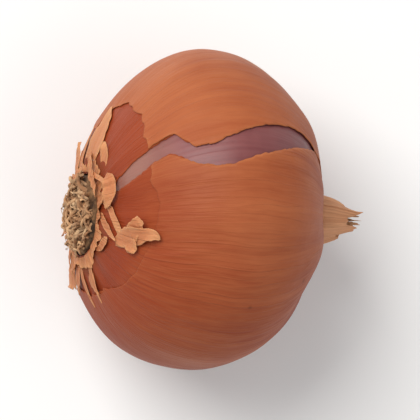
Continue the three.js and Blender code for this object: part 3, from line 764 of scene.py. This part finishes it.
def papery_skin_group():
    """Dry bulb skin. Veins are lines of noise drawn out from root to neck. The colour goes between
    Light and Deep in streaks and blotches. It is lighter towards the top, the side high in the picture
    and the roots, and darker towards the neck: partly the skin's own tone, partly painted light and
    painted shade. It turns to Rust near the roots, Pale at torn edges, Soil round the root plate and
    Straw up the neck, and a few small dark spots are scattered over it."""
    group = bpy.data.node_groups.new("papery_skin", "ShaderNodeTree")
    for name in ("Light", "Deep", "Vein", "Rust", "Pale", "Soil", "Straw"):
        group.interface.new_socket(name, in_out="INPUT", socket_type="NodeSocketColor")
    for name in ("Vein strength", "Mottle", "Gloss"):
        group.interface.new_socket(name, in_out="INPUT", socket_type="NodeSocketFloat")
    group.interface.new_socket("Color", in_out="OUTPUT", socket_type="NodeSocketColor")
    group.interface.new_socket("Roughness", in_out="OUTPUT", socket_type="NodeSocketFloat")
    group.interface.new_socket("Height", in_out="OUTPUT", socket_type="NodeSocketFloat")
    given = group.nodes.new("NodeGroupInput").outputs
    straight = add_node(group, "ShaderNodeAttribute", attribute_name="way").outputs["Vector"]
    wear = add_node(group, "ShaderNodeAttribute", attribute_name="wear").outputs["Vector"]
    edge, rooty, neck = add_node(group, "ShaderNodeSeparateXYZ", {0: wear}).outputs
    place = add_node(group, "ShaderNodeTexCoord").outputs["Object"]

    inputs = {"Vector": place, "Scale": 90.0, "Detail": 2.0}
    waver = add_node(group, "ShaderNodeTexNoise", inputs).outputs[1]
    waver = stretched(group, waver, (0.07, 0.07, 0.0))
    way = add_node(group, "ShaderNodeVectorMath", {0: straight, 1: waver}, operation="ADD").outputs[0]
    main = lines(group, pattern(group, stretched(group, way, (12.0, 12.0, 0.35)), 1.0, 0.5), 0.03)
    fine = lines(group, pattern(group, stretched(group, way, (30.0, 30.0, 0.8)), 1.0, 1.0), 0.06)
    broad = pattern(group, stretched(group, way, (4.5, 4.5, 0.6)), 1.0, 3.0)
    bands = pattern(group, stretched(group, way, (15.0, 15.0, 0.5)), 1.0, 2.0)
    blotch = pattern(group, place, 70.0, 3.0)
    grain = pattern(group, stretched(group, way, (64.0, 64.0, 5.0)), 1.0, 2.0)
    crinkle = pattern(group, place, 800.0, 3.0, 0.6)

    # Painted light and painted shade, partly the skin's own tone: lighter on the top, the high side and the
    # roots, darker towards the neck.
    tone_and_painted_light_way = (0.10, 0.24, -0.25)  # the top, the side that is high in the picture, the roots
    side = add_node(group, "ShaderNodeVectorMath", {0: straight, 1: tone_and_painted_light_way}, operation="DOT_PRODUCT")
    shade = number(group, "ADD", side.outputs["Value"], ranged(group, broad, 0.3, 0.7, 0.28, 0.73))
    shade = number(group, "ADD", shade, ranged(group, bands, 0.3, 0.7, 0.0, 0.25))
    patch = number(group, "MULTIPLY", ranged(group, blotch, 0.32, 0.68), given["Mottle"])
    shade = number(group, "ADD", shade, patch, clamp=True)
    colour = blend_colour(group, shade, given["Deep"], given["Light"])
    turned = number(group, "ADD", rooty, ranged(group, broad, 0.3, 0.7, -0.22, 0.22), clamp=True)
    colour = blend_colour(group, turned, colour, given["Rust"])
    colour = blend_colour(group, ranged(group, grain, 0.35, 0.7, 0.0, 0.22), colour, given["Light"])
    veins = number(group, "MAXIMUM", number(group, "MULTIPLY", main, ranged(group, blotch, 0.35, 0.6)),
                   number(group, "MULTIPLY", fine, 0.5))
    veins = number(group, "MULTIPLY", veins, given["Vein strength"])
    colour = blend_colour(group, veins, colour, given["Vein"])

    near_edge = number(group, "MULTIPLY", edge, ranged(group, grain, 0.3, 0.6, 0.4, 1.0), clamp=True)
    colour = blend_colour(group, near_edge, colour, given["Pale"])
    dirt = number(group, "MULTIPLY", ranged(group, rooty, 0.8, 1.0),
                  ranged(group, pattern(group, place, 420.0, 4.0), 0.4, 0.62))
    colour = blend_colour(group, number(group, "MULTIPLY", dirt, 0.6), colour, given["Soil"])
    dry = number(group, "MULTIPLY", ranged(group, neck, 0.25, 0.7),
                 ranged(group, bands, 0.3, 0.6, 0.7, 1.0))
    colour = blend_colour(group, dry, colour, given["Straw"])

    cells = add_node(group, "ShaderNodeTexVoronoi", {"Vector": place, "Scale": 260.0})
    dot = ranged(group, cells.outputs["Distance"], 0.04, 0.12, 1.0, 0.0)
    chosen = add_node(group, "ShaderNodeSeparateColor", {0: cells.outputs["Color"]}).outputs[0]
    dot = number(group, "MULTIPLY", dot, ranged(group, chosen, 0.88, 0.92, 0.0, 0.45))
    colour = blend_colour(group, dot, colour, srgb(84, 40, 22))

    rough = number(group, "SUBTRACT", ranged(group, blotch, 0.3, 0.7, 0.6, 0.46), given["Gloss"])
    rough = number(group, "ADD", rough, number(group, "MULTIPLY", dirt, 0.3), clamp=True)
    height = number(group, "MULTIPLY", main, 0.3)
    for part, share in ((fine, 0.2), (grain, 0.4), (bands, 0.9), (crinkle, 0.5)):
        height = number(group, "ADD", height, number(group, "MULTIPLY", part, share))
    end = group.nodes.new("NodeGroupOutput")
    group.links.new(colour, end.inputs["Color"])
    group.links.new(rough, end.inputs["Roughness"])
    group.links.new(height, end.inputs["Height"])
    return group


def new_material(name):
    """A node material: its tree and its Principled BSDF."""
    material = bpy.data.materials.new(name)
    material.use_nodes = True
    return material, material.node_tree, material.node_tree.nodes["Principled BSDF"]


def bumped(tree, shader, height, distance):
    """Feeds a height in metres times distance to the shader's normal."""
    bump = add_node(tree, "ShaderNodeBump", {"Height": height, "Distance": distance, "Strength": 1.0})
    tree.links.new(bump.outputs[0], shader.inputs["Normal"])


def skin_material(name, group, bump, subsurface=0.0, **inputs):
    """One dry skin: the group with its own colours and numbers, and a satin shader."""
    material, tree, shader = new_material(name)
    skin = add_node(tree, "ShaderNodeGroup", node_tree=group)
    for key, value in inputs.items():
        skin.inputs[key.replace("_", " ")].default_value = value
    tree.links.new(skin.outputs["Color"], shader.inputs["Base Color"])
    tree.links.new(skin.outputs["Roughness"], shader.inputs["Roughness"])
    bumped(tree, shader, skin.outputs["Height"], bump)
    shader.inputs["Specular IOR Level"].default_value = 0.16
    shader.inputs["Subsurface Weight"].default_value = subsurface
    shader.inputs["Subsurface Radius"].default_value = (1.0, 0.4, 0.2)
    shader.inputs["Subsurface Scale"].default_value = 0.0012
    return material


def flesh_material():
    """The moist scale under the split: dusty mauve with paler and darker fibres from root to neck,
    paler towards the root, and darker towards the neck as painted shade."""
    material, tree, shader = new_material("mauve_scale")
    way = add_node(tree, "ShaderNodeAttribute", attribute_name="way").outputs["Vector"]
    place = add_node(tree, "ShaderNodeTexCoord").outputs["Object"]
    fibre = pattern(tree, stretched(tree, way, (22.0, 22.0, 0.8)), 1.0, 2.0)
    cloud = pattern(tree, place, 260.0, 3.0)
    shade = number(tree, "ADD", ranged(tree, fibre, 0.3, 0.7, 0.0, 0.6),
                   ranged(tree, cloud, 0.3, 0.7, 0.0, 0.4))
    colour = blend_colour(tree, shade, srgb(112, 56, 58), srgb(146, 86, 84))
    along = add_node(tree, "ShaderNodeSeparateXYZ", {0: way}).outputs[2]
    colour = blend_colour(tree, ranged(tree, along, 1.05, 0.7, 0.0, 0.75), colour, srgb(154, 106, 90))
    # Painted shade: the scale darkens towards the neck.
    colour = blend_colour(tree, ranged(tree, along, 1.4, 2.1, 0.0, 0.6), colour, srgb(104, 42, 46))
    tree.links.new(colour, shader.inputs["Base Color"])
    tree.links.new(ranged(tree, cloud, 0.3, 0.7, 0.42, 0.55), shader.inputs["Roughness"])
    bumped(tree, shader, fibre, 0.00015)
    shader.inputs["Subsurface Weight"].default_value = 0.15
    shader.inputs["Subsurface Radius"].default_value = (1.0, 0.35, 0.35)
    shader.inputs["Subsurface Scale"].default_value = 0.001
    return material


def cork_material():
    """The root plate: tan cork, darker in its hollows, with traces of soil."""
    material, tree, shader = new_material("root_cork")
    place = add_node(tree, "ShaderNodeTexCoord").outputs["Object"]
    lumps = pattern(tree, place, 700.0, 4.0, 0.6)
    soil = pattern(tree, place, 320.0, 3.0)
    colour = blend_colour(tree, ranged(tree, lumps, 0.35, 0.65), srgb(70, 44, 26), srgb(140, 102, 66))
    colour = blend_colour(tree, ranged(tree, soil, 0.5, 0.62, 0.0, 0.85), colour, srgb(38, 24, 14))
    tree.links.new(colour, shader.inputs["Base Color"])
    shader.inputs["Roughness"].default_value = 0.9
    bumped(tree, shader, lumps, 0.0004)
    return material


def rootlet_material():
    """Dried rootlets: each its own tone between straw and brown, with a grey bloom and dark flecks."""
    material, tree, shader = new_material("dry_rootlets")
    way = add_node(tree, "ShaderNodeAttribute", attribute_name="way").outputs["Vector"]
    tone = add_node(tree, "ShaderNodeSeparateXYZ", {0: way}).outputs[0]
    place = add_node(tree, "ShaderNodeTexCoord").outputs["Object"]
    grain = pattern(tree, place, 900.0, 2.0)
    bloom = pattern(tree, place, 500.0, 2.0)
    colour = blend_colour(tree, tone, srgb(146, 98, 62), srgb(210, 166, 122))
    colour = blend_colour(tree, ranged(tree, bloom, 0.45, 0.65, 0.0, 0.4), colour, srgb(196, 172, 138))
    colour = blend_colour(tree, ranged(tree, grain, 0.52, 0.68, 0.0, 0.6), colour, srgb(84, 56, 34))
    tree.links.new(colour, shader.inputs["Base Color"])
    shader.inputs["Roughness"].default_value = 0.85
    bumped(tree, shader, grain, 0.0002)
    return material


def dress_shallot():
    """All the pieces with their materials."""
    group = papery_skin_group()
    copper = skin_material(
        "copper_skin", group, 0.00010, Light=srgb(182, 106, 65), Deep=srgb(137, 54, 27),
        Vein=srgb(102, 36, 16), Rust=srgb(146, 58, 29), Pale=srgb(192, 118, 72), Soil=srgb(98, 56, 32),
        Straw=srgb(222, 162, 120), Vein_strength=0.13, Mottle=0.4, Gloss=0.0)
    rust = skin_material(
        "rust_skin", group, 0.00011, Light=srgb(150, 62, 30), Deep=srgb(128, 46, 18),
        Vein=srgb(92, 28, 12), Rust=srgb(138, 60, 32), Pale=srgb(174, 92, 54), Soil=srgb(106, 66, 40),
        Straw=srgb(180, 120, 76), Vein_strength=0.15, Mottle=0.4, Gloss=0.06)
    pale = skin_material(
        "pale_torn_skin", group, 0.0002, 0.1, Light=srgb(206, 134, 92), Deep=srgb(176, 98, 62),
        Vein=srgb(150, 78, 46), Rust=srgb(194, 118, 76), Pale=srgb(220, 158, 110), Soil=srgb(124, 82, 50),
        Straw=srgb(220, 158, 116), Vein_strength=0.25, Mottle=0.4, Gloss=0.0)
    flesh_scale(flesh_material())
    under_skin(rust)
    outer_skin(copper)
    collar_skin(pale)
    skin_shreds(pale)
    neck_sheaths(pale)
    root_crown(cork_material())
    rootlets(rootlet_material())


def make_floor():
    """A plain pale floor, wide enough to reach past every view's edge."""
    size = 3.0
    corners = [(-size, -size, 0), (size, -size, 0), (size, size, 0), (-size, size, 0)]
    mesh = bpy.data.meshes.new("floor")
    mesh.from_pydata(corners, [], [(0, 1, 2, 3)])
    material, _, shader = new_material("pale_floor")
    shader.inputs["Base Color"].default_value = (0.92, 0.92, 0.92, 1)
    shader.inputs["Roughness"].default_value = 0.85
    mesh.materials.append(material)
    floor = bpy.data.objects.new("floor", mesh)
    bpy.context.scene.collection.objects.link(floor)


def make_light(name, place, size, power, colour=(1, 1, 1)):
    """A square soft light that looks at the shallot."""
    light = bpy.data.lights.new(name, "AREA")
    light.size = size
    light.energy = power
    light.color = colour
    made = bpy.data.objects.new(name, light)
    made.location = place
    made.rotation_euler = (Vector((0, 0, 0.02)) - made.location).to_track_quat("-Z", "Y").to_euler()
    bpy.context.scene.collection.objects.link(made)


def make_studio():
    """Soft light from above, stronger from the upper left as the camera sees it, and a pale world."""
    make_light("key", (-0.29, 0.30, 0.55), 0.42, 4.1, (1.0, 0.98, 0.95))
    make_light("fill", (0.4, -0.3, 0.5), 0.7, 0.9)
    world = bpy.data.worlds.new("studio")
    world.use_nodes = True
    world.node_tree.nodes["Background"].inputs[0].default_value = (1, 1, 1, 1)
    world.node_tree.nodes["Background"].inputs[1].default_value = 0.44
    bpy.context.scene.world = world
    bpy.context.scene.view_settings.view_transform = "Standard"


CAMERA_LEAN = 6.0  # degrees from straight down, towards the root end
CAMERA_DISTANCE = 0.5
VIEW_WIDTH = 0.058  # of the floor that the picture spans
SENSOR_WIDTH = 36


def make_camera():
    """Looks down on the shallot as the photo does: the root end at the left, +Y up."""
    lowest, highest = CAD_BOUNDS
    lean = np.radians(CAMERA_LEAN)
    camera = bpy.data.cameras.new("camera")
    camera.sensor_width = SENSOR_WIDTH
    camera.lens = camera.sensor_width * CAMERA_DISTANCE / VIEW_WIDTH
    camera.clip_start = 0.01
    made = bpy.data.objects.new("camera", camera)
    made.location = (lowest + highest) / 2 + CAMERA_DISTANCE * Vector((-np.sin(lean), 0, np.cos(lean)))
    made.rotation_euler = (0, -lean, 0)
    bpy.context.scene.collection.objects.link(made)
    bpy.context.scene.camera = made


dress_shallot()
make_floor()
make_studio()
make_camera()
